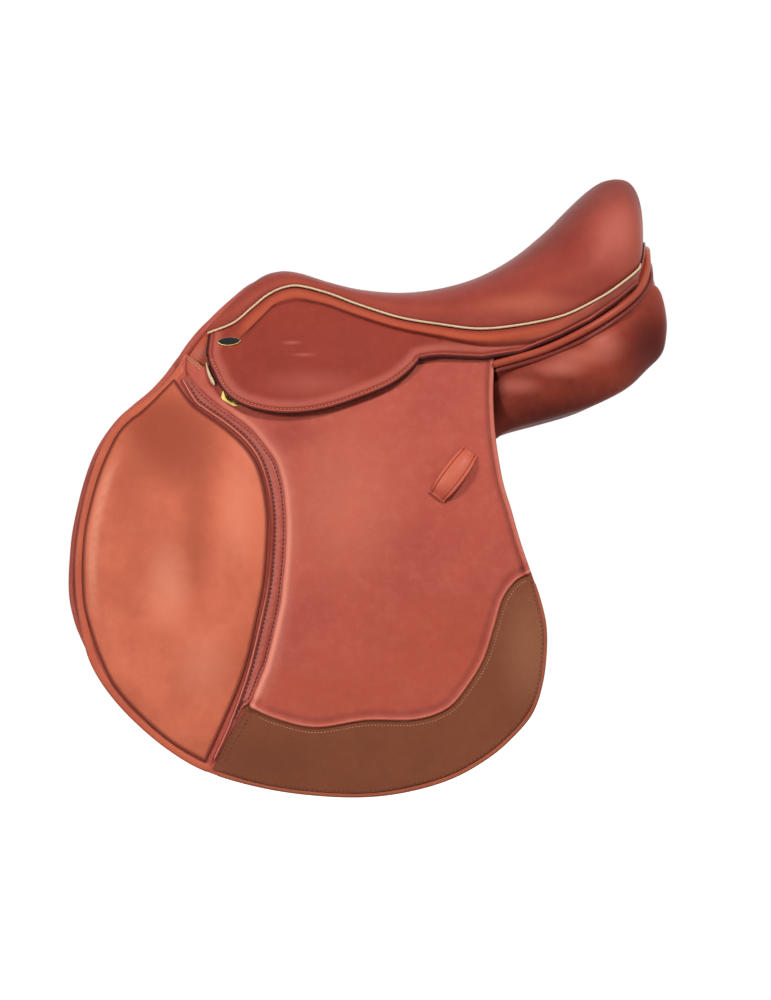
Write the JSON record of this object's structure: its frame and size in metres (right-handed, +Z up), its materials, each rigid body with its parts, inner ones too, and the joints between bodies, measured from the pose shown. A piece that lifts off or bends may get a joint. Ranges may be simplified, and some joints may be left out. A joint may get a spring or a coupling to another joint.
{
  "type": "all-purpose saddle",
  "caption": "All-purpose riding saddle with padded knee pads, hinged flaps and skirts, a wooden tree under the seat and cushion panels that rest on the horse.",
  "frame": {"origin": "on the middle plane, under the deepest point of the seat, at the level where the panels bear on the horse's back", "axes": "+X towards the cantle, -X towards the pommel, -Y towards the rider's near (left) side, +Z up"},
  "size_m": [0.5782, 0.3912, 0.5982],
  "materials": {
    "flap_leather": "smooth, waxed, red chestnut",
    "seat_leather": "smooth, polished by use, darker red chestnut",
    "knee_leather": "soft, faded to orange tan",
    "patch_leather": "matt brown",
    "panel_leather": "glossy, dark red brown",
    "strap_leather": "firm strap leather, red chestnut",
    "piping": "cream",
    "brass": "polished",
    "steel": "forged, satin",
    "beech": "laminated, sealed",
    "webbing": "woven",
    "foam": "open-cell padding",
    "enamel": "black, bare"
  },
  "bodies": {
    "root": {"tree": "beech", "head_plate": "steel", "gullet_plate": "steel", "spring_steel_near": "steel", "spring_steel_off": "steel", "seat_web_long": "webbing", "girth_web": "webbing", "seat_foam": "foam", "seat_cover": "seat_leather", "seat_piping": "piping", "pommel_facing": "flap_leather", "cantle_roll_upper": "flap_leather", "cantle_roll_lower": "panel_leather", "cantle_gusset": "panel_leather", "skirt_band_near": "flap_leather", "skirt_band_off": "flap_leather", "nail_plate_near": "enamel", "nail_plate_off": "enamel", "stirrup_bar_near": "steel", "stirrup_bar_off": "steel", "bar_rivet_front_near": "steel", "bar_rivet_front_off": "steel", "bar_rivet_rear_near": "steel", "bar_rivet_rear_off": "steel", "sweat_flap_near": "flap_leather", "sweat_flap_off": "flap_leather", "front_roll_near": "flap_leather", "front_roll_off": "flap_leather", "knee_block_near": "knee_leather", "knee_block_off": "knee_leather", "panel_near": "panel_leather", "panel_off": "panel_leather", "point_pocket_near": "panel_leather", "point_pocket_off": "panel_leather"},
    "flap_near": {"flap_near": "flap_leather", "knee_pad_near": "knee_leather", "flap_welt_near": "flap_leather", "flap_patch_near": "patch_leather", "keeper_loop_near": "flap_leather", "dee_chape_near": "flap_leather"},
    "flap_off": {"flap_off": "flap_leather", "knee_pad_off": "knee_leather", "flap_welt_off": "flap_leather", "flap_patch_off": "patch_leather", "keeper_loop_off": "flap_leather", "dee_chape_off": "flap_leather"},
    "skirt_near": {"skirt_near": "flap_leather"},
    "skirt_off": {"skirt_off": "flap_leather"},
    "dee_near": {"front_dee_near": "brass"},
    "dee_off": {"front_dee_off": "brass"},
    "catch_near": {"bar_catch_near": "steel"},
    "catch_off": {"bar_catch_off": "steel"},
    "billet_1_near": {"billet_1_near": "strap_leather"},
    "billet_1_off": {"billet_1_off": "strap_leather"},
    "billet_2_near": {"billet_2_near": "strap_leather"},
    "billet_2_off": {"billet_2_off": "strap_leather"},
    "billet_3_near": {"billet_3_near": "strap_leather"},
    "billet_3_off": {"billet_3_off": "strap_leather"},
    "guard_near": {"buckle_guard_near": "strap_leather"},
    "guard_off": {"buckle_guard_off": "strap_leather"}
  },
  "joints": [
    {"name": "flap_near_lift", "type": "hinge", "parent": "root", "child": "flap_near", "pos_m": [-0.06, -0.11365, 0.0805], "axis": [-0.9976, 0.0698, 0], "range_deg": [0, 90]},
    {"name": "flap_off_lift", "type": "hinge", "parent": "root", "child": "flap_off", "pos_m": [-0.06, 0.11365, 0.0805], "axis": [0.9976, 0.0698, 0], "range_deg": [0, 90]},
    {"name": "skirt_near_lift", "type": "hinge", "parent": "flap_near", "child": "skirt_near", "pos_m": [-0.06, -0.11365, 0.0805], "axis": [-0.9976, 0.0698, 0], "range_deg": [0, 64]},
    {"name": "skirt_off_lift", "type": "hinge", "parent": "flap_off", "child": "skirt_off", "pos_m": [-0.06, 0.11365, 0.0805], "axis": [0.9976, 0.0698, 0], "range_deg": [0, 64]},
    {"name": "dee_near_swing", "type": "hinge", "parent": "flap_near", "child": "dee_near", "pos_m": [-0.171, -0.1121, 0.0545], "axis": [-0.9976, 0.0698, 0], "range_deg": [0, 8]},
    {"name": "dee_off_swing", "type": "hinge", "parent": "flap_off", "child": "dee_off", "pos_m": [-0.171, 0.1121, 0.0545], "axis": [0.9976, 0.0698, 0], "range_deg": [0, 8]},
    {"name": "catch_near_turn", "type": "hinge", "parent": "root", "child": "catch_near", "pos_m": [-0.056, -0.10672, 0.053], "axis": [-0.0481, -0.9147, 0.4013], "range_deg": [0, 70]},
    {"name": "catch_off_turn", "type": "hinge", "parent": "root", "child": "catch_off", "pos_m": [-0.056, 0.10672, 0.053], "axis": [0.0481, -0.9147, -0.4013], "range_deg": [0, 70]},
    {"name": "billet_1_near_swing", "type": "hinge", "parent": "root", "child": "billet_1_near", "pos_m": [-0.015, -0.0941, 0.085], "axis": [0, 1, 0], "range_deg": [-6, 6]},
    {"name": "billet_2_near_swing", "type": "hinge", "parent": "root", "child": "billet_2_near", "pos_m": [0.02, -0.09655, 0.085], "axis": [0, 1, 0], "range_deg": [-6, 6]},
    {"name": "billet_3_near_swing", "type": "hinge", "parent": "root", "child": "billet_3_near", "pos_m": [0.055, -0.099, 0.085], "axis": [0, 1, 0], "range_deg": [-6, 6]},
    {"name": "billet_1_off_swing", "type": "hinge", "parent": "root", "child": "billet_1_off", "pos_m": [-0.015, 0.0941, 0.085], "axis": [0, 1, 0], "range_deg": [-6, 6]},
    {"name": "billet_2_off_swing", "type": "hinge", "parent": "root", "child": "billet_2_off", "pos_m": [0.02, 0.09655, 0.085], "axis": [0, 1, 0], "range_deg": [-6, 6]},
    {"name": "billet_3_off_swing", "type": "hinge", "parent": "root", "child": "billet_3_off", "pos_m": [0.055, 0.099, 0.085], "axis": [0, 1, 0], "range_deg": [-6, 6]},
    {"name": "guard_near_slide", "type": "slide", "parent": "billet_2_near", "child": "guard_near", "axis": [0, -0.1871, -0.9823], "range_m": [-0.02, 0.02]},
    {"name": "guard_off_slide", "type": "slide", "parent": "billet_2_off", "child": "guard_off", "axis": [0, 0.1871, -0.9823], "range_m": [-0.02, 0.02]}
  ],
  "couplings": [
    {"joint": "billet_1_near_swing", "follows": "billet_2_near_swing", "ratio": 1},
    {"joint": "billet_3_near_swing", "follows": "billet_2_near_swing", "ratio": 1},
    {"joint": "billet_1_off_swing", "follows": "billet_2_off_swing", "ratio": 1},
    {"joint": "billet_3_off_swing", "follows": "billet_2_off_swing", "ratio": 1}
  ]
}
